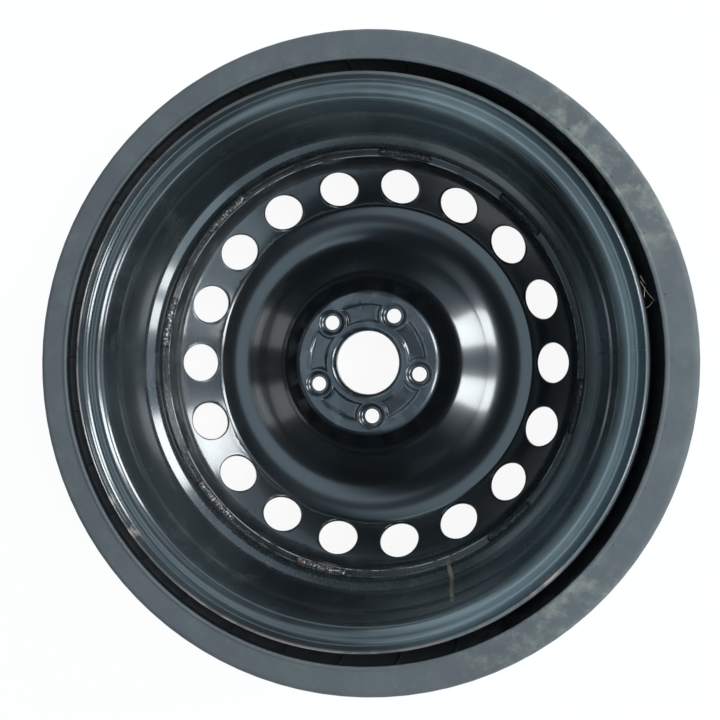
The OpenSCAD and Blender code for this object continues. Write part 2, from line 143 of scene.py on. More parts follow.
# %% [markdown]
# ## Meshes
#
# A wheel is mostly surfaces of revolution. `lathe` turns an outline into rings of faces.
# A mesh made from numbers is exact and quick, and no modifier has to be applied later.

# %% Mesh helpers
def metres(points):
    return np.asarray(points, float) / 1000.0


def piece(name, points, faces, body="wheel", sharp=38.0, merge=0.02):
    mesh = bpy.data.meshes.new(name)
    mesh.from_pydata(metres(points).tolist(), [], faces)
    made = bpy.data.objects.new(name, mesh)
    bpy.context.scene.collection.objects.link(made)
    if merge:
        weld_points(mesh, merge / 1000.0)
    mesh.shade_smooth()
    mesh.set_sharp_from_angle(angle=math.radians(sharp))
    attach(made, body)
    print(name, len(mesh.vertices), "points", len(mesh.polygons), "faces")
    return made


def weld_points(mesh, distance):
    work = bmesh.new()
    work.from_mesh(mesh)
    bmesh.ops.remove_doubles(work, verts=work.verts, dist=distance)
    work.to_mesh(mesh)
    work.free()


def grid_faces(rows, columns, wrap=True, flip=False):
    """Quads between rows of points, each row with the same number of columns."""
    faces = []
    last = columns if wrap else columns - 1
    for i in range(rows - 1):
        for j in range(last):
            k = (j + 1) % columns
            quad = [i * columns + j, i * columns + k,
                    (i + 1) * columns + k, (i + 1) * columns + j]
            faces.append(quad[::-1] if flip else quad)
    return faces


def lathe(outline, angles, closed=True, flip=False):
    outline = list(outline) + ([outline[0]] if closed else [])
    cos, sin = np.cos(angles), np.sin(angles)
    rings = [np.stack([r * cos, r * sin, np.full(len(angles), z)], 1) for r, z in outline]
    return np.concatenate(rings), grid_faces(len(outline), len(angles), flip=flip)


def join(parts):
    points, faces, start = [], [], 0
    for some, quads in parts:
        points.append(np.asarray(some, float))
        faces += [[start + k for k in quad] for quad in quads]
        start += len(some)
    return np.concatenate(points), faces


def circle_angles(count):
    return np.arange(count) * 2 * math.pi / count


def spun(points, angle):
    """The points turned round the axle."""
    c, s = math.cos(angle), math.sin(angle)
    return np.asarray(points, float) @ np.array([[c, s, 0], [-s, c, 0], [0, 0, 1]])


# %% [markdown]
# ## The rim
#
# The rim is one strip of steel, rolled to shape and welded into a hoop. Its outline is a
# closed loop: down one face of the sheet and back up the other. The free edge of each
# flange is rounded by half the sheet's thickness, as a rolled edge is.

# %% Rounded edge of a sheet
def sheet_edge(a, b, bulge, steps=6):
    """Points of a round edge between the ends a and b of the sheet's two faces."""
    a, b = np.array(a), np.array(b)
    middle, half = (a + b) / 2, (b - a) / 2
    out = left_of(unit(b - a)) * bulge
    return [middle - half * math.cos(t) + out * math.sin(t)
            for t in np.linspace(0, math.pi, steps + 2)[1:-1]]


def softened(line, cut):
    """Pulls both ends of an open line in, to leave room for the rounded edge."""
    line = [np.array(p, float) for p in line]
    line[0] = line[0] + unit(line[1] - line[0]) * cut
    line[-1] = line[-1] + unit(line[-2] - line[-1]) * cut
    return line


# %% Make the rim
EDGE_CUT, HOLD, RIM_COLUMNS = 1.2, 0.6, 240
outer, inner = [softened([(r, z + OFFSET) for r, z in rounded(RIM, off, 4, HOLD)], EDGE_CUT)
                for off in (0, -RIM_T)]
rim_outline = (outer + sheet_edge(outer[-1], inner[-1], -EDGE_CUT)
               + inner[::-1] + sheet_edge(inner[0], outer[0], -EDGE_CUT))
rim = piece("rim_shell", *lathe(rim_outline, circle_angles(RIM_COLUMNS), flip=True))
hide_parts("rim")

# %% [markdown]
# ## The disc
#
# The disc is pressed from one sheet, and eighteen vents and five bolt holes are punched
# through it. A Boolean would leave long thin faces that spoil gloss paint. Each hole gets
# a patch instead: rings of points that start round and end on the patch's straight sides,
# all lying on the true surface.

# %% Walk along the disc's surface
def dense(path, off, step=0.4):
    """Closely set points of one face, and how far along the hub side each one lies."""
    line = np.array(rounded(path, off, 1.0))
    base = np.array(rounded(path, 0, 1.0))
    spots, where, run = [line[0]], [0.0], 0.0
    for i in range(1, len(base)):
        length = np.linalg.norm(base[i] - base[i - 1])
        count = max(1, int(length / step))
        for k in range(1, count + 1):
            spots.append(line[i - 1] + (line[i] - line[i - 1]) * k / count)
            where.append(run + length * k / count)
        run += length
    return np.array(where), np.array(spots)


hub_s, hub_line = dense(DISC, 0)
_, back_line = dense(DISC, -DISC_T)


def on_disc(s, back=False):
    line = back_line if back else hub_line
    return np.interp(s, hub_s, line[:, 0]), np.interp(s, hub_s, line[:, 1])


def s_at_radius(radius, after=60.0):
    """Distance along the path at which the hub side first reaches this radius."""
    part = hub_s > after
    return float(np.interp(radius, hub_line[part, 0], hub_s[part]))


s_vent = s_at_radius(VENT_AT[0])
print("disc path", round(hub_s[-1], 1), "mm, vents at", round(s_vent, 1))


def stops_along(low, high, turn_step):
    """Distances along the path with one stop for each small turn of a bend."""
    marks = np.array(rounded(DISC, 0, turn_step, 0.6))
    near = [hub_s[np.argmin(np.linalg.norm(hub_line - mark, axis=1))] for mark in marks]
    return np.array([low] + sorted({s for s in near if low + 0.2 < s < high - 0.2}) + [high])


# %% Patch round one vent
DIVISIONS, SIDE_STEPS = 360, 20
VENT_REACH, VENT_LIP, LIP_ROWS = 24.5, 0.9, 4
SLANT = np.array([math.cos(BAND), math.sin(BAND)])


def vent_ring(angles, radius, back):
    """Surface positions whose distance from the vent's axis is the given radius."""
    p, q = radius * np.cos(angles), radius * np.sin(angles)
    s = s_vent + p
    for _ in range(12):
        r, z = on_disc(s, back)
        a = np.arcsin(q / r)
        got = (r * np.cos(a) - VENT_AT[0]) * SLANT[0] + (z - VENT_AT[1]) * SLANT[1]
        s = s + (p - got)
    return s, a


def patch_sides(first, second):
    """Both coordinates of a walk round the four sides of a patch."""
    n, m = len(first) - 1, len(second) - 1
    walk = [np.full(m, first[0]), first[:-1], np.full(m, first[-1]), first[:0:-1]]
    other = [second[:0:-1], np.full(n, second[0]), second[:-1], np.full(n, second[-1])]
    return np.concatenate(walk), np.concatenate(other)


def vent_patch(middle, back, rings):
    """Rows of points from the vent's rolled lip out to the sides of its patch."""
    half = math.pi / VENTS
    edge_s, edge_a = patch_sides(np.linspace(-VENT_REACH, VENT_REACH, SIDE_STEPS + 1),
                                 np.linspace(-half, half, DIVISIONS // VENTS + 1))
    edge_s = edge_s + s_vent
    theta = np.arctan2(edge_a * VENT_AT[0], edge_s - s_vent)
    rows = []
    for k in range(LIP_ROWS):
        t = k / LIP_ROWS * math.pi / 2
        s, a = vent_ring(theta, VENT_R + VENT_LIP * (1 - math.cos(t)), back)
        rows.append((s, a, VENT_LIP * (1 - math.sin(t))))
    s0, a0 = vent_ring(theta, VENT_R + VENT_LIP, back)
    for k in range(rings + 1):
        t = (k / rings) ** 1.3
        rows.append((s0 + (edge_s - s0) * t, a0 + (edge_a - a0) * t, 0.0))
    points = []
    for s, a, sink in rows:
        r, z = on_disc(s, back)
        drop = sink if back else -sink
        r, z = r - drop * math.sin(BAND), z + drop * math.cos(BAND)
        points.append(np.stack([r * np.cos(a + middle), r * np.sin(a + middle), z], 1))
    return points


def two_sided(front, rear):
    """One solid patch: front rows, rear rows and the wall of the hole between them."""
    count = len(front[0])
    return join([(np.concatenate(front), grid_faces(len(front), count)),
                 (np.concatenate(rear), grid_faces(len(rear), count, flip=True)),
                 (np.concatenate([rear[0], front[0]]), grid_faces(2, count))])


def vent_part(index):
    middle = index * 2 * math.pi / VENTS
    return two_sided(vent_patch(middle, False, 5), vent_patch(middle, True, 1))


# %% [markdown]
# The plate carries five shallow pockets between the bolt holes. They keep its contact with
# the hub to clean, narrow lands. On the back each hole has a ball seat for its bolt. Both
# faces are written as heights, so one patch can follow them.

# %% Heights on the hub plate
POCKET_LOW, POCKET_HIGH, LAND, SLOPE, POCKET_DEEP = 42.5, 62.0, 15.5, 2.2, 1.6
BALL_R, BALL_HIGH, SEAT_FLOOR = 13.0, -14.27, -6.6


def ease(x):
    x = np.clip(x, 0, 1)
    return x * x * (3 - 2 * x)


def pocket_depth(x, y):
    """How deep into a pocket a point lies, 0 at its rim and 1 on its floor."""
    r, turn = np.hypot(x, y), 2 * math.pi / BOLTS
    a = (np.arctan2(y, x) - BOLT_TURN + turn / 2) % turn - turn / 2
    from_bolt = np.hypot(r * np.cos(a) - BOLT_AT, r * np.sin(a))
    inside = np.minimum(np.minimum(r - POCKET_LOW, POCKET_HIGH - r), from_bolt - LAND)
    return ease(inside / SLOPE)


def plate_front(x, y, rho):
    """Height of the hub side; rho is the distance from the bolt hole's middle."""
    return -2.3 * ease((14 - rho) / 4.4) - POCKET_DEEP * pocket_depth(x, y)


def plate_back(x, y, rho):
    ball = BALL_HIGH + np.sqrt(np.clip(BALL_R ** 2 - rho ** 2, 0, None))
    flank = -DISC_T - 2.6 * ease((15.2 - rho) / 3.2)
    seat = np.where(rho < 10.5, np.maximum(ball, SEAT_FLOOR), SEAT_FLOOR)
    return np.where(rho < 12, seat, flank) - POCKET_DEEP * pocket_depth(x, y)


# %% [markdown]
# Round a bolt hole the points lie on rays from the hole's middle. A ray has its points
# close together where it crosses the edge of a pocket, so the edge is a row of its own
# and stays smooth in gloss paint.

# %% Rays round one bolt hole
PLATE_IN, PLATE_OUT, PLATE_STEPS, FIRST_STOP = 38.6, 71.0, 16, 14.4
FRONT_RHOS = [BOLT_HOLE_R, 7.52, 8.4, 9.6, 10.4, 11.2, 12, 12.8, 13.6]
BACK_RHOS = [BOLT_HOLE_R, 7.52, 8.4, 9.6, 10.45, 10.55, 12, 13.4]
FRONT_COUNTS, BACK_COUNTS = (1, 5, 5, 5, 3), (1, 2, 2, 2, 1)


def crossing(way, radius):
    """Distance from the bolt's middle at which each ray meets a circle round the axle."""
    along = way[:, 0] * BOLT_AT
    inside = along ** 2 - BOLT_AT ** 2 + radius ** 2
    root = np.sqrt(np.clip(inside, 0, None))
    far = np.where(inside > 0, -along + root if radius > BOLT_AT else -along - root, 1e3)
    return np.where(far > 0, far, 1e3)


def ray_stops(way, edge, counts):
    """Rows of distances from the bolt's middle out to the edge of the patch."""
    stops = [np.full(len(way), FIRST_STOP)]
    pocket_end = np.minimum(crossing(way, POCKET_LOW), crossing(way, POCKET_HIGH))
    pocket_end = np.minimum(np.maximum(pocket_end, LAND), edge)
    foot = np.minimum(LAND + SLOPE, pocket_end)
    top = np.maximum(pocket_end - SLOPE * 1.1, foot)
    goals = (np.minimum(LAND, edge), foot, top, pocket_end, edge)
    for goal, count in zip(goals, counts):
        start = stops[-1]
        stops += [start + (goal - start) * k / count for k in range(1, count + 1)]
    return stops


# %% Patch round one bolt hole
def bolt_patch(index, back):
    """Rows of points from the bolt hole's edge out to the sides of its patch."""
    half = math.pi / BOLTS
    edge_r, edge_a = patch_sides(np.linspace(PLATE_IN, PLATE_OUT, PLATE_STEPS + 1),
                                 np.linspace(-half, half, DIVISIONS // BOLTS + 1))
    edge = np.stack([edge_r * np.cos(edge_a) - BOLT_AT, edge_r * np.sin(edge_a)], 1)
    length = np.linalg.norm(edge, axis=1)
    way = edge / length[:, None]
    rows = [np.full(len(way), rho) for rho in (BACK_RHOS if back else FRONT_RHOS)]
    rows += ray_stops(way, length, BACK_COUNTS if back else FRONT_COUNTS)
    middle = BOLT_TURN + index * 2 * half
    points = []
    for rho in rows:
        flat = np.stack([way[:, 0] * rho + BOLT_AT, way[:, 1] * rho, np.zeros(len(way))], 1)
        x, y, _ = spun(flat, middle).T
        z = plate_back(x, y, rho) if back else plate_front(x, y, rho)
        points.append(np.stack([x, y, z], 1))
    return points


def bolt_part(index):
    return two_sided(bolt_patch(index, False), bolt_patch(index, True))


# %% Put the disc together
def disc_rings(low, high, back):
    r, z = on_disc(stops_along(low, high, 9 if back else 3.5), back)
    return lathe(list(zip(r, z)), circle_angles(DIVISIONS), closed=False, flip=back)


s_in, s_out = s_at_radius(PLATE_IN, 8.0), s_at_radius(PLATE_OUT, 20.0)
disc_parts = []
for back in (False, True):
    collar, collar_faces = disc_rings(0.0, s_in, back)
    disc_parts.append((spun(collar, BOLT_TURN - math.pi / BOLTS), collar_faces))
    disc_parts.append(disc_rings(s_out, s_vent - VENT_REACH, back))
    disc_parts.append(disc_rings(s_vent + VENT_REACH, hub_s[-1], back))
disc_parts += [vent_part(i) for i in range(VENTS)] + [bolt_part(i) for i in range(BOLTS)]
for s in (0.0, hub_s[-1]):
    ends = [on_disc(s), on_disc(s, True)]
    disc_parts.append(lathe(ends if s else ends[::-1], circle_angles(DIVISIONS),
                            closed=False, flip=True))
disc = piece("disc_pressing", *join(disc_parts), sharp=42)
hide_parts("wheel_disc")

# %% [markdown]
# ## The weld stitches
#
# Eight short beads join the disc to the well. A robot's bead is a row of overlapping
# ripples that ends in a small crater. The bead's section is swept along its arc, and its
# radius swells and sinks with every ripple.

# %% Make the weld stitches
BEAD_R, BEAD_Z, BEAD_SIZE, BEAD_SWEEP, RIPPLES = 211.55, 25.9, 3.75, 14.6, 34
WELD_STARTS = [36 + 90 * i + 35.5 * side for i in range(4) for side in (0, 1)]


def weld_bead(start, steps=150, around=18):
    """A bead from its start angle on; its ends are round and its top is rippled."""
    rows = []
    for i in range(steps + 1):
        t = i / steps
        a = math.radians(start - 0.3 + BEAD_SWEEP * t)
        end = min(t, 1 - t) * BEAD_SWEEP * 3.7
        size = BEAD_SIZE * math.sqrt(max(0.0, 1 - max(0.0, 1 - end / 3.6) ** 2)) + 0.02
        ripple = (0.16 * math.sin(2 * math.pi * t * RIPPLES + 1.3 * math.sin(t * 9))
                  + 0.1 * math.sin(t * 57 + start))
        ring = []
        for k in range(around + 1):
            w = math.radians(-20 + 230 * k / around)
            reach = size + (ripple * max(0.0, math.sin(w + 0.3)) if end > 2 else 0)
            r = min(BEAD_R - reach * math.sin(w) * 0.93, BEAD_R + 0.3)
            ring.append((r * math.cos(a), r * math.sin(a),
                         max(BEAD_Z + reach * math.cos(w), SKIRT_TOP - 0.2)))
        rows.append(ring)
    return np.concatenate(rows), grid_faces(len(rows), around + 1, wrap=False, flip=True)


welds = piece("weld_beads", *join([weld_bead(a) for a in WELD_STARTS]), merge=0)
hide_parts("weld_stitches")

# %% [markdown]
# ## The tyre
#
# Empty, this tyre keeps its sidewalls tucked in under the tread, so it takes little room.
# From outside one sees the tread, a flat side ring, and a deep groove between that ring
# and the flange. The section is drawn once for one half and mirrored. The slots of the
# shoulder ribs come from moving points of the finished rings inwards.

# %% Outline of the tyre
RING_FACE, LIP_AT, TREAD_EDGE = 91.05, 259.9, 287.5
FOLD_TOP, FOLD_LOW, FOLD_END, BEAD = 262.0, 254.5, 45.05, 82.35
PITCH, GROOVE_W, GROOVE_H, SLOT_END = 33.0, 8.0, 5.0, 78.05
NEAR_MIDDLE, CROWN = 0.01, 5.0


def tread_at(u):
    """Radius of the tread at this distance from the middle plane."""
    return TREAD_EDGE + CROWN * (1 - (u / RING_FACE) ** 2)


def groove(middle):
    low, high = middle - GROOVE_W / 2, middle + GROOVE_W / 2
    floor = tread_at(middle) - GROOVE_H
    return [[tread_at(low), low, 0.6], [floor, low + 0.8, 0],
            [floor, high - 0.8, 0], [tread_at(high), high, 0.6]]


def on_tread(*places):
    return [[tread_at(u), u, 0] for u in places]


def tread_line():
    inner_groove, outer_groove = PITCH / 2, PITCH * 1.5
    rib = np.linspace(inner_groove + GROOVE_W / 2 + 3, outer_groove - 7, 3)
    return ([[tread_at(0), NEAR_MIDDLE, 0]] + on_tread(7) + groove(inner_groove)
            + on_tread(*rib) + groove(outer_groove)
            + on_tread(60, 68, SLOT_END - 0.2, SLOT_END + 0.2))


# %% Sidewall of the tyre
TOE_U, TUCK_R, TUCK_U, SHELL_R = 62.55, 248.5, 39.05, 268.0
SIDE_LINE = [
    [TREAD_EDGE, RING_FACE - 0.5, 7], [LIP_AT + 4, RING_FACE - 0.2, 2],
    [LIP_AT + 2.4, RING_FACE + 0.8, 0.8], [LIP_AT, RING_FACE + 0.8, 0.8],
    [LIP_AT, RING_FACE - 3, 2], [FOLD_TOP, RING_FACE - 9, 6],
    [FOLD_TOP, FOLD_END, 3.65], [FOLD_LOW, FOLD_END, 3.65], [FOLD_LOW, BEAD, 10],
    [231.2, BEAD, 6.8], [229.4, TOE_U, 2],
]
INSIDE_LINE = [
    [234, TOE_U, 2], [243, 74.85, 3], [TUCK_R, 76.35, 2], [TUCK_R, TUCK_U, 9.5],
    [SHELL_R, TUCK_U, 9.5], [SHELL_R, 85.05, 3], [277.5, 85.05, 4], [279.4, NEAR_MIDDLE, 0],
]
half_line = rounded(tread_line() + SIDE_LINE + INSIDE_LINE, turn_step=24)
tyre_line = [(r, u + OFFSET) for r, u in half_line] + [(r, OFFSET - u) for r, u in half_line[::-1]]
print("tyre outline", len(tyre_line), "points")


# %% Make the tyre
SLOTS, SLOT_WALLS, SLOT_START = 96, (-0.41, -0.38, 0.38, 0.41), PITCH * 1.5 + 3.5
OUTSIDE_R, SLOT_FLOOR_R = 284.0, 283.6


def slot_angles():
    """Four columns a slot, for the tops and the feet of its two walls."""
    return np.radians([360 / SLOTS * k + off for k in range(SLOTS) for off in SLOT_WALLS])


def cut_slots(points, columns):
    """Sinks the slots: one side has the even places and the other has the odd ones."""
    rings = points.reshape(-1, columns, 3)
    number, wall = np.divmod(np.arange(columns), len(SLOT_WALLS))
    inside = (wall == 1) | (wall == 2)
    for row in rings:
        r, u = math.hypot(row[0, 0], row[0, 1]), row[0, 2] - OFFSET
        if r > OUTSIDE_R and SLOT_START < abs(u) < SLOT_END:
            row[inside & (number % 2 == (0 if u > 0 else 1)), :2] *= SLOT_FLOOR_R / r
    return rings.reshape(-1, 3)


columns = slot_angles()
tyre_points, tyre_faces = lathe(tyre_line, columns)
tyre = piece("tyre_moulding", cut_slots(tyre_points, len(columns)), tyre_faces, merge=0)
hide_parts("tyre")

# %% [markdown]
# ## Mould marks of the tyre
#
# A tyre mould is made of segments. Where two meet, a hair-thin fin of rubber stays on the
# wall of the groove, and each vent of the mould leaves a small nub on the ring's lip.

# %% Make the mould marks
MARKS, MARK_TURN = 32, 10.5
FIN_WIDE, FIN_HIGH, FIN_ROOT = 1.2, 0.9, -0.15
GROOVE_WALL = [
    (LIP_AT, RING_FACE - 0.4, 0.3), (LIP_AT, RING_FACE - 1.5, 1),
    (LIP_AT + 0.2, RING_FACE - 3.4, 1), (LIP_AT + 1.0, RING_FACE - 6, 1),
    (FOLD_TOP - 0.35, RING_FACE - 8, 1), (FOLD_TOP, RING_FACE - 12, 1),
    (FOLD_TOP, FOLD_END + 6, 0.6),
]


def fin(angle, side):
    """A low ridge down the groove's wall; side is 1 above the middle plane, else -1."""
    points = []
    for r, u, share in GROOVE_WALL:
        half, tall = FIN_WIDE / 2 * share, FIN_HIGH * share
        section = ((-half, FIN_ROOT), (-half * 0.3, tall), (half * 0.3, tall), (half, FIN_ROOT))
        points += [(r - lift, y, OFFSET + side * u) for y, lift in section]
    return spun(points, angle), grid_faces(len(GROOVE_WALL), 4, wrap=False, flip=side < 0)


def nub(angle, r, z, radius=0.75, high=0.6, around=10):
    rows = [(radius, -0.1), (radius * 0.9, high * 0.7), (radius * 0.5, high), (0.01, high)]
    points = [(r + wide * math.cos(t), wide * math.sin(t), z + h)
              for wide, h in rows for t in circle_angles(around)]
    return spun(points, angle), grid_faces(len(rows), around)


mark_parts = []
for k in range(MARKS):
    at = math.radians(MARK_TURN + 360 / MARKS * k)
    mark_parts += [fin(at, 1), fin(at, -1)]
    mark_parts.append(nub(at + math.radians(0.9), LIP_AT + 6.2, OFFSET + RING_FACE - 0.2))
mould_marks = piece("tyre_mould_marks", *join(mark_parts), merge=0)

# %% [markdown]
# ## Finishes
#
# Each finish is a Principled shader with small node networks. `Wire` lets those networks
# be written as sums: a wire is one node's output, and `+`, `-`, `*` and `/` add Math
# nodes. Positions are read in object space, so the finish stays on the wheel.

# %% Wires
class Wire:
    """One output of a node, used in sums."""

    def __init__(self, finish, socket):
        self.finish, self.socket = finish, socket

    def __add__(self, other): return self.finish.calc("ADD", self, other)
    def __radd__(self, other): return self.finish.calc("ADD", other, self)
    def __sub__(self, other): return self.finish.calc("SUBTRACT", self, other)
    def __rsub__(self, other): return self.finish.calc("SUBTRACT", other, self)
    def __mul__(self, other): return self.finish.calc("MULTIPLY", self, other)
    def __rmul__(self, other): return self.finish.calc("MULTIPLY", other, self)
    def __truediv__(self, other): return self.finish.calc("DIVIDE", self, other)
    def __rtruediv__(self, other): return self.finish.calc("DIVIDE", other, self)


# %% [markdown]
# A mask is a wire between 0 and 1. `step` and `between` make one from a position or a
# noise, and `blend` mixes two colours by one.

# %% Node trees
class Nodes:
    """A node tree and short ways to add to it."""

    def __init__(self, tree):
        self.tree = tree

    def node(self, kind, settings=None, sockets=None, out=0):
        made = self.tree.nodes.new("ShaderNode" + kind)
        for key, value in (settings or {}).items():
            setattr(made, key, value)
        for key, value in (sockets or {}).items():
            self.feed(made.inputs[key], value)
        return Wire(self, made.outputs[out])

    def feed(self, socket, value):
        if isinstance(value, Wire):
            self.tree.links.new(value.socket, socket)
        elif isinstance(value, (tuple, list)) and socket.type == "RGBA" and len(value) == 3:
            socket.default_value = (*value, 1)
        else:
            socket.default_value = value

    def calc(self, operation, *values, clamp=False):
        return self.node("Math", {"operation": operation, "use_clamp": clamp},
                         dict(enumerate(values)))

    def clamp(self, value):
        return self.calc("ADD", value, 0.0, clamp=True)

    def step(self, value, low, high):
        """0 below low, 1 above high, with a soft rise. Swap low and high for a fall."""
        return self.node("MapRange", {"interpolation_type": "SMOOTHSTEP"},
                         {"Value": value, "From Min": low, "From Max": high,
                          "To Min": 0.0, "To Max": 1.0})

    def between(self, value, low, high, soft):
        """1 from low to high, with soft sides outside them."""
        return self.step(value, low - soft, low) * self.step(value, high + soft, high)

    def blend(self, share, a, b):
        return self.node("Mix", {"data_type": "RGBA", "clamp_factor": True},
                         {0: share, 6: a, 7: b}, out=2)


# %% Materials
def label_of(key):
    """The label of a socket on the Principled shader, such as Coat Weight."""
    return key.replace("_", " ").title().replace("Ior", "IOR")


class Finish(Nodes):
    """A material, its Principled shader and the nodes that feed it.

    Where `placed`, x, y and z are wires of the place on the wheel in millimetres, and r is
    the distance from the axle.
    """

    def __init__(self, name, placed=True, **fixed):
        self.material = bpy.data.materials.new(name)
        self.material.use_nodes = True
        super().__init__(self.material.node_tree)
        self.shader = self.tree.nodes["Principled BSDF"]
        for key, value in fixed.items():
            self.shader.inputs[label_of(key)].default_value = value
        if placed:
            self.where = self.node("TexCoord", out="Object")
            self.x, self.y, self.z = [
                self.node("SeparateXYZ", None, {0: self.where}, out=k) * 1000 for k in range(3)]
            self.r = self.calc("SQRT", self.x * self.x + self.y * self.y)

    def noise(self, scale, detail=3.0, rough=0.55, where=None):
        return self.node("TexNoise", None, {"Vector": where or self.where, "Scale": scale,
                                            "Detail": detail, "Roughness": rough})

    def toward(self, angle, spread, soft=4.0):
        """1 near this angle round the axle, fading to 0 past the spread, in degrees."""
        a = math.radians(angle)
        cosine = (self.x * math.cos(a) + self.y * math.sin(a)) / self.r
        return self.step(cosine, math.cos(math.radians(spread + soft)),
                         math.cos(math.radians(spread)))

    def bump(self, height, strength, distance):
        normal = self.node("Bump", None, {"Strength": strength, "Distance": distance,
                                          "Height": height})
        self.feed(self.shader.inputs["Normal"], normal)

    def set(self, **wires):
        for key, value in wires.items():
            self.feed(self.shader.inputs[label_of(key)], value)

    def on(self, *objects):
        for each in objects:
            each.data.materials.clear()
            each.data.materials.append(self.material)
        print(self.material.name, len(self.tree.nodes), "nodes on",
              ", ".join(each.name for each in objects))


# %% [markdown]
# ### Gloss black paint
#
# The steel is dipped in black paint. It is nearly a mirror, with the faint waviness of a
# dipped coat. Dust dulls it in the corners, so the dust is a mask on roughness and colour.

# %% Paint of the disc
BLACK = (0.0045, 0.0055, 0.0062)
# The pinkish film colour is a painted sheen on the left of the bowl's outer part.
DISC_DUST, PAINTED_SHEEN, CHIPPED = (0.06, 0.066, 0.068), (0.034, 0.030, 0.031), (0.42, 0.44, 0.44)
# The plate's lighter colour is partly painted light from the right side and partly wear.
PLATE_DARK, PLATE_WORN_AND_LIT = (0.008, 0.011, 0.015), (0.056, 0.066, 0.076)
GLOSS = {"ior": 1.5, "coat_weight": 1.0, "coat_roughness": 0.09}
disc_paint = Finish("disc_paint", base_color=(*BLACK, 1), **GLOSS)
dp = disc_paint
specks = dp.step(dp.noise(900, 2.0), 0.58, 0.75) * dp.step(dp.noise(22, 3.0), 0.48, 0.7)
foot_dust = (dp.step(dp.r, 198, 206)
             * (0.45 + 0.55 * dp.step(dp.noise(70, 4.0), 0.42, 0.7))
             * (0.5 + 0.5 * dp.toward(145, 40, 30)))
# Painted sheen: a pale pinkish tint on the left of the vent band, where the paint is also made
# rougher.
film_and_painted_sheen = dp.step(dp.r, 150, 190) * dp.step(dp.x, 60, -160) * dp.step(dp.noise(14, 4.0), 0.3, 0.75)
patches = dp.step(dp.noise(38, 4.0, 0.5), 0.5, 0.56) * dp.step(dp.r, 76, 70)
disc_dust = dp.clamp(0.2 * specks + 0.8 * foot_dust)
plate = dp.step(dp.r, 77, 75) * dp.step(dp.z, -6, -3)
raised = dp.step(dp.z, -1.3, -0.6)
# Painted light: the plate turns lighter towards +x, as if lit from the right. The noise patches
# and the lighter raised lands are wear.
wear_and_painted_light = (0.55 * patches + 0.75 * dp.step(dp.x, -30, 60)) * (0.45 + 0.55 * raised)
plate_wear_and_painted_light = dp.blend(dp.clamp(wear_and_painted_light), PLATE_DARK, PLATE_WORN_AND_LIT)
disc_shade = dp.blend(film_and_painted_sheen * 0.5, dp.blend(plate, BLACK, plate_wear_and_painted_light), PAINTED_SHEEN)
edge_line = (dp.between(dp.r, 208.4, 208.8, 0.3) * dp.step(dp.z, 22.4, 23.1)
             * dp.step(dp.noise(60, 6.0, 0.75), 0.42, 0.52))
disc_paint.set(
    base_color=dp.blend(edge_line, dp.blend(disc_dust, disc_shade, DISC_DUST), CHIPPED),
    roughness=(0.17 + 0.06 * dp.noise(35, 3.0) + 0.3 * disc_dust + 0.14 * film_and_painted_sheen
               + plate * (0.08 + 0.12 * patches)))
disc_paint.bump(dp.noise(160, 2.0), 0.05, 0.0004)
disc_paint.on(disc)

# %% [markdown]
# The rim wears more than the disc. Dust lies in streaks along the well, one dried run of
# water crosses it, and the top of the flange is rubbed to bare metal where it was stood
# down. Each of these is a mask round the axle, across the width, or both.
# A blue-grey band on the heel of the flange, strongest on the right, is a painted reflection.

# %% Marks on the rim's paint
rim_paint = Finish("rim_paint", base_color=(*BLACK, 1), **GLOSS)
rp = rim_paint
along = rp.calc("ARCTAN2", rp.y, rp.x)
axial = rp.node("CombineXYZ", None, {0: along * 60, 1: rp.z * 0.035, 2: 0.0})
fine = rp.noise(6.0, 3.0, 0.6, axial)
around = rp.node("CombineXYZ", None, {0: along * 5, 1: rp.z * 0.9, 2: 0.0})
rolled = rp.noise(1.6, 3.0, 0.6, around)
smudge = rp.noise(26, 5.0, 0.6)
lees = rp.clamp(rp.toward(240, 30, 25) + rp.toward(90, 14, 12) + 0.35)
axial_streaks = rp.between(rp.z, 24, 46, 16) * rp.step(fine, 0.52, 0.7) * lees
smears = rp.between(rp.z, 30, 112, 14) * rp.step(smudge, 0.5, 0.72) * rp.step(rolled, 0.35, 0.65)
run = rp.calc("ABSOLUTE", along + 1.152 + 0.007 * (rp.noise(28, 2.0) - 0.5) * 4)
dried_run = (rp.step(run, 0.012, 0.005) * rp.between(rp.z, 26, 100, 10)
             * rp.step(rp.r, 205, 210))
butt_weld = rp.toward(2, 0.1, 0.08) * rp.step(rp.z, 22, 26)
rim_dust = rp.clamp(0.6 * axial_streaks + 0.34 * smears + 0.6 * butt_weld)
rust = (rp.step(rp.noise(60, 4.0), 0.6, 0.68) * rp.between(rp.z, 20, 34, 4)
        * rp.clamp(rp.toward(249, 4, 4) + rp.toward(288, 8, 6)))
wear = rp.noise(34, 5.0)
on_edge = rp.step(rp.r, 245.9, 247.4) * rp.step(rp.z, 127.6, 129.6)
worn = (on_edge * rp.step(wear, 0.28, 0.5)
        * (1.0 - 0.6 * rp.toward(150, 50, 30)) * (1.0 - 0.7 * rp.toward(215, 14, 12)))
scuffed = (rp.clamp(rp.toward(312, 3, 3) + rp.toward(212, 7, 3))
           * rp.step(rp.r, 243, 246) * rp.step(wear, 0.5, 0.62))
haze = (rp.step(rp.noise(8, 4.0), 0.25, 0.75) * (1.0 - 0.88 * rp.toward(195, 80, 60))
        * rp.step(rp.z, 38, 52))
# Painted reflection: a blue-grey band on the flange's heel, strongest towards the right.
painted_heel_sheen = rp.between(rp.r, 232, 246.5, 2.0) * (0.05 + 0.95 * rp.toward(355, 52, 32))
seam = (rp.between(rp.z, 24.6, 25.3, 0.5)
        + rp.between(rp.z, 28.2, 28.6, 0.4) * rp.toward(185, 50, 20))
seam = (seam * rp.step(rp.noise(150, 6.0, 0.75), 0.5, 0.6)
        * rp.clamp(rp.toward(190, 60, 25) + rp.toward(265, 22, 16)) * rp.step(rp.r, 209, 211))
print("nodes for the rim's marks", len(rp.tree.nodes))

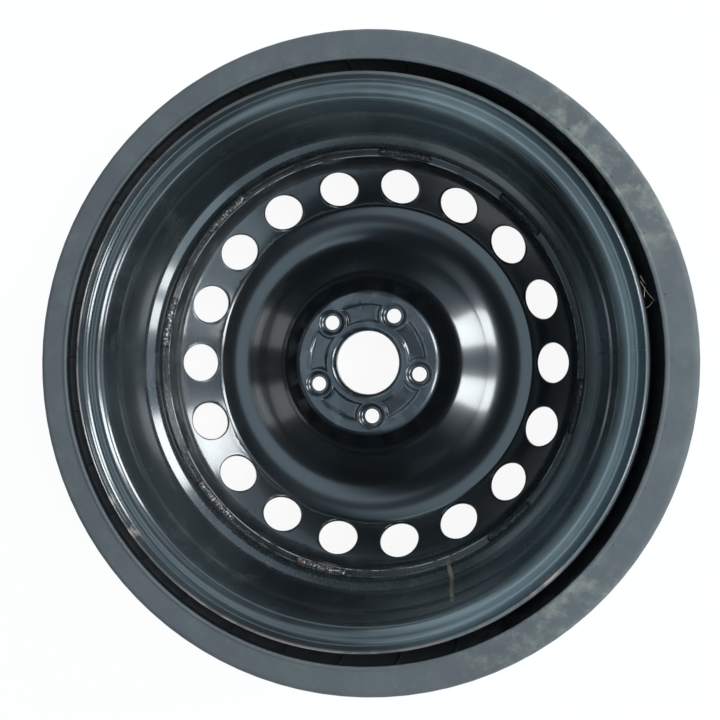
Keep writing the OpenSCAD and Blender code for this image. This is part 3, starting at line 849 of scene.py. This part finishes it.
# %% Paint of the rim
RIM_DARK, RIM_HAZE, HEEL_SHEEN_GREY = (0.008, 0.010, 0.011), (0.165, 0.205, 0.205), (0.110, 0.142, 0.155)
RIM_DUST, SEAM_GREY, RUN_TAN = (0.085, 0.095, 0.092), (0.36, 0.37, 0.37), (0.27, 0.21, 0.14)
RUST, WORN_STEEL = (0.10, 0.04, 0.018), (0.34, 0.27, 0.25)
rim_shade = RIM_DARK
for mask, colour in ((haze, RIM_HAZE), (painted_heel_sheen * 0.7, HEEL_SHEEN_GREY), (rim_dust, RIM_DUST),
                     (seam * 0.8, SEAM_GREY), (dried_run * 0.85, RUN_TAN), (rust, RUST),
                     (rp.clamp(worn + scuffed), WORN_STEEL)):
    rim_shade = rp.blend(mask, rim_shade, colour)
rim_paint.set(
    base_color=rim_shade,
    roughness=0.17 + 0.08 * rp.noise(30, 3.0) + 0.3 * rim_dust + 0.12 * smears + 0.35 * worn,
    coat_weight=1.0 - 0.9 * worn)
rim_paint.bump(rp.noise(150, 2.0) + 1.5 * butt_weld, 0.06, 0.0004)
rim_paint.on(rim)

# %% [markdown]
# ### Weld, rubber, brass and plastic
#
# The beads were laid before painting: thin paint, bare peaks and a little rust. The rubber
# is matt and grey from storage, with dust lying in patches. The valve pieces are small, so
# a fine turned or moulded grain is enough.

# %% Weld finish
WELD_DARK, WELD_BARE, WELD_RUST = (0.012, 0.013, 0.014), (0.60, 0.60, 0.60), (0.12, 0.05, 0.022)
weld_skin = Finish("weld_skin", base_color=(0.05, 0.05, 0.05, 1))
ws = weld_skin
spatter = ws.noise(520, 3.0)
rusted = ws.step(ws.noise(160, 4.0), 0.52, 0.66) * ws.toward(262, 40, 20)
bare = ws.step(spatter, 0.52, 0.66) * (0.35 + 0.65 * ws.toward(190, 70, 30))
weld_skin.set(
    base_color=ws.blend(rusted * 0.7, ws.blend(bare, WELD_DARK, WELD_BARE), WELD_RUST),
    roughness=0.26 + 0.3 * spatter, metallic=bare * (1.0 - rusted))
weld_skin.bump(spatter, 0.7, 0.0005)
weld_skin.on(welds)

# %% Tyre rubber
RUBBER_DARK, RUBBER_PALE = (0.066, 0.074, 0.078), (0.104, 0.113, 0.117)
BLOTCHED, SCRUBBED = (0.120, 0.132, 0.130), (0.13, 0.12, 0.11)
IN_SHADE, RING_DUST = (0.004, 0.004, 0.005), (0.27, 0.27, 0.22)
rubber = Finish("tyre_rubber", base_color=(0.07, 0.08, 0.086, 1), specular_ior_level=0.25)
rb = rubber
cloud = rb.noise(9, 4.0)
blotch = rb.clamp(rb.step(rb.noise(24, 6.0, 0.68), 0.45, 0.7)
                  + 0.6 * rb.step(rb.noise(240, 4.0, 0.6), 0.55, 0.68))
on_ring = rb.step(rb.r, 258.8, 260.4)
in_groove = rb.step(rb.r, 262.8, 261.2) * rb.step(rb.z, 127.6, 126)
lying = rb.step(rb.noise(60, 7.0, 0.7), 0.42, 0.72)
dusty = on_ring * rb.clamp(1.1 * rb.toward(36, 6, 16) * lying
                           + 0.9 * rb.toward(308, 6, 13) * lying
                           + 0.2 * rb.step(rb.noise(40, 6.0, 0.65), 0.5, 0.8))
scrubbed = rb.step(rb.r, 284.5, 287.5) * rb.step(rb.noise(60, 4.0), 0.35, 0.6)
rubber_shade = RUBBER_DARK
for mask, colour in ((cloud, RUBBER_PALE), (blotch * 0.4, BLOTCHED), (scrubbed * 0.4, SCRUBBED),
                     (in_groove * 0.85, IN_SHADE), (dusty * 0.6, RING_DUST)):
    rubber_shade = rb.blend(mask, rubber_shade, colour)
rubber.set(base_color=rubber_shade, roughness=0.62 + 0.2 * cloud + 0.1 * dusty)
rubber.bump(rb.noise(1400, 2.0) + 1.5 * rb.noise(260, 3.0), 0.3, 0.0002)
rubber.on(tyre, mould_marks)

# %% Finishes of the valve pieces
valve_rubber = Finish("valve_rubber", base_color=(0.02, 0.02, 0.021, 1), specular_ior_level=0.4)
valve_rubber.set(roughness=0.5 + 0.15 * valve_rubber.noise(300, 2.0))
valve_rubber.bump(valve_rubber.noise(2200, 2.0), 0.2, 0.0001)

turned_brass = Finish("turned_brass", base_color=(0.72, 0.55, 0.26, 1), metallic=1.0)
tarnish = turned_brass.step(turned_brass.noise(180, 4.0), 0.4, 0.7)
turned_brass.set(base_color=turned_brass.blend(tarnish, (0.74, 0.57, 0.28), (0.42, 0.31, 0.15)),
                 roughness=0.25 + 0.25 * tarnish)
turned_brass.bump(turned_brass.noise(2500, 2.0), 0.15, 0.00005)

spring_wire = Finish("spring_wire", base_color=(0.6, 0.6, 0.62, 1), metallic=1.0)
spring_wire.set(roughness=0.22 + 0.2 * spring_wire.noise(900, 2.0))

seal_rubber = Finish("seal_rubber", base_color=(0.03, 0.03, 0.032, 1), specular_ior_level=0.4)
seal_rubber.set(roughness=0.45 + 0.2 * seal_rubber.noise(1500, 2.0))

cap_plastic = Finish("cap_plastic", base_color=(0.022, 0.022, 0.024, 1))
cap_plastic.set(roughness=0.36 + 0.12 * cap_plastic.noise(400, 3.0))
cap_plastic.bump(cap_plastic.noise(1800, 2.0), 0.2, 0.00008)

# %% Dress the valve pieces
WEARS = {
    valve_rubber: ("valve_body",),
    turned_brass: ("valve_stem", "core_plug", "core_barrel", "core_pin", "core_cup"),
    spring_wire: ("core_spring",),
    seal_rubber: ("barrel_gasket", "cup_seal", "cap_gasket"),
    cap_plastic: ("valve_cap",),
}
for finish, names in WEARS.items():
    pieces = [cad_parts[name] for name in names]
    finish.on(*pieces)
    for each in pieces:
        if finish is not spring_wire:
            each.data.shade_smooth()
            each.data.set_sharp_from_angle(angle=math.radians(35))
print("finishes", len(bpy.data.materials))

# %% [markdown]
# ## Straw in the groove
#
# A few bits of dry straw lie across the groove, caught between flange and tyre. Each is a
# thin three-sided stalk, bowed a little.

# %% Make the straw
def stalk(start, end, bow, thick=0.2, steps=8):
    """A tapering stalk between two places given as radius, angle and height."""
    ends = [spun([r, 0, z], math.radians(a)) for r, a, z in (start, end)]
    along = unit(ends[1] - ends[0])
    side = unit(np.cross(along, (0, 0, 1)))
    up, points = np.cross(side, along), []
    for k in range(steps + 1):
        t = k / steps
        middle = ends[0] + (ends[1] - ends[0]) * t + side * bow * math.sin(math.pi * t)
        half = thick * (1 - 0.6 * t)
        points += [middle + half * (side * math.cos(w) + up * math.sin(w)) for w in (0, 2.1, 4.2)]
    return np.array(points), grid_faces(steps + 1, 3)


STALKS = [
    ((249.8, 14.6, 128.4), (257.6, 10.6, 125.0), 0.7),
    ((250.4, 11.6, 125.8), (252.4, 13.4, 127.6), -0.4),
    ((251.4, 15.6, 126.5), (254.8, 13.9, 123.0), 0.5),
    ((250.6, 9.6, 121.6), (256.2, 10.6, 124.0), 0.5),
]
straw = piece("straw_bits", *join([stalk(*each) for each in STALKS]), merge=0)

# %% Finish of the straw
straw_skin = Finish("dry_straw", base_color=(0.45, 0.41, 0.30, 1))
STRAW_PALE, STRAW_BROWN = (0.55, 0.52, 0.42), (0.30, 0.25, 0.15)
straw_skin.set(base_color=straw_skin.blend(straw_skin.noise(300, 2.0), STRAW_PALE, STRAW_BROWN),
               roughness=0.5 + 0.2 * straw_skin.noise(500, 2.0))
straw_skin.on(straw)

# %% [markdown]
# ## Floor, light and camera
#
# The floor is pale. Seen straight by the camera it is mostly its own white, and a share
# of it still takes the wheel's shadow. The room is drawn by direction: a tall window and
# a smaller one to the right, low bright panes between them, and a grey wall to the left.
# Gloss paint shows them as patches, so their place matters more than their strength.

# %% Floor
def flat_square(name, size, z):
    mesh = bpy.data.meshes.new(name)
    corners = [(-size, -size, z), (size, -size, z), (size, size, z), (-size, size, z)]
    mesh.from_pydata(corners, [], [(0, 1, 2, 3)])
    made = bpy.data.objects.new(name, mesh)
    bpy.context.scene.collection.objects.link(made)
    return made


FLOOR_HALF, FLOOR_Z, OWN_WHITE = 12.0, -0.0586, 0.93
floor = flat_square("floor", FLOOR_HALF, FLOOR_Z)
floor_paint = Finish("floor_paint", placed=False, base_color=(0.8, 0.8, 0.8, 1), roughness=0.9)
glow = floor_paint.node("Emission", None, {"Color": (1, 1, 1), "Strength": 1.0})
seen = floor_paint.node("LightPath", out="Is Camera Ray")
lit = Wire(floor_paint, floor_paint.shader.outputs[0])
mixed = floor_paint.node("MixShader", None, {0: seen * OWN_WHITE, 1: lit, 2: glow})
floor_paint.feed(floor_paint.tree.nodes["Material Output"].inputs["Surface"], mixed)
floor_paint.on(floor)

# %% Directions in the room
world = bpy.data.worlds.new("room")
bpy.context.scene.world = world
world.use_nodes = True
room = Nodes(world.node_tree)
toward = room.node("TexCoord", out="Generated")
east, north, height = [room.node("SeparateXYZ", None, {0: toward}, out=k) for k in range(3)]
azimuth = room.calc("ARCTAN2", north, east) * math.degrees(1)
elevation = room.calc("ARCSINE", height) * math.degrees(1)


def opening(at, half, low, high, soft, rise):
    """1 inside a span of azimuth and elevation, in degrees, with soft sides."""
    off = room.calc("ABSOLUTE", room.calc("WRAP", azimuth - at, 180.0, -180.0))
    return room.step(off, half + soft, half) * room.between(elevation, low, high, rise)


# %% Light of the room
# Each row: strength, azimuth, half width, lowest, highest, soft sides, soft top and foot.
WINDOWS = [(14.0, 24, 9, 43, 66, 4, 4), (14.0, 30, 10, 9, 25, 4, 4), (14.0, 341, 8, 46, 66, 4, 4)]
PANES = [(12.0, 334, 2, 13, 20, 3, 3), (12.0, 346, 3, 13, 20, 3, 3), (1.2, 124, 8, 48, 62, 6, 6)]
LOW_LIGHT = [(1.1, 350, 42, 8, 24, 8, 8), (1.2, 322, 20, 10, 21, 5, 5),
             (1.1, 268, 26, 12, 22, 16, 6), (1.1, 82, 34, 12, 22, 16, 6)]
WALLS = [(0.7, 12, 42, 44, 66, 30, 10), (1.0, 122, 8, 38, 50, 10, 7),
         (1.5, 185, 38, 62, 77, 40, 5)]
EVERYWHERE, BLUISH, NEAR_WHITE = 0.08, (0.58, 0.82, 1.0), (0.90, 0.96, 1.0)
light = EVERYWHERE
for strength, *span in WINDOWS + PANES + LOW_LIGHT + WALLS:
    light = light + strength * opening(*span)
room_tint = room.blend(room.clamp(light * 0.12), BLUISH, NEAR_WHITE)
camera_ray = room.node("LightPath", out="Is Camera Ray")
backdrop = room.tree.nodes["Background"]
room.feed(backdrop.inputs["Color"], room.blend(camera_ray, room_tint, (1.0, 1.0, 1.0)))
room.feed(backdrop.inputs["Strength"], light * (1.0 - camera_ray) + camera_ray)
print("nodes of the room", len(room.tree.nodes))

# %% [markdown]
# The camera looks down at the hub side, a little from the right. Its place and its turn
# come from fitting the circles of the wheel to where the photograph has them.

# %% Camera
camera_data = bpy.data.cameras.new("camera")
camera_data.lens, camera_data.sensor_width = 34.06, 36.0
camera = bpy.data.objects.new("camera", camera_data)
EYE = (0.115996, -0.009425, 0.699123)
right, up = Vector((0.984868, 0.002964, -0.173279)), Vector((0.0, 0.999854, 0.017103))
turn = Matrix((right, up, right.cross(up))).transposed().to_4x4()
camera.matrix_world = Matrix.Translation(EYE) @ turn
bpy.context.scene.collection.objects.link(camera)
bpy.context.scene.camera = camera
bpy.context.scene.view_settings.view_transform = "Standard"
print("camera", round(EYE[2], 3), "m above the hub's face")
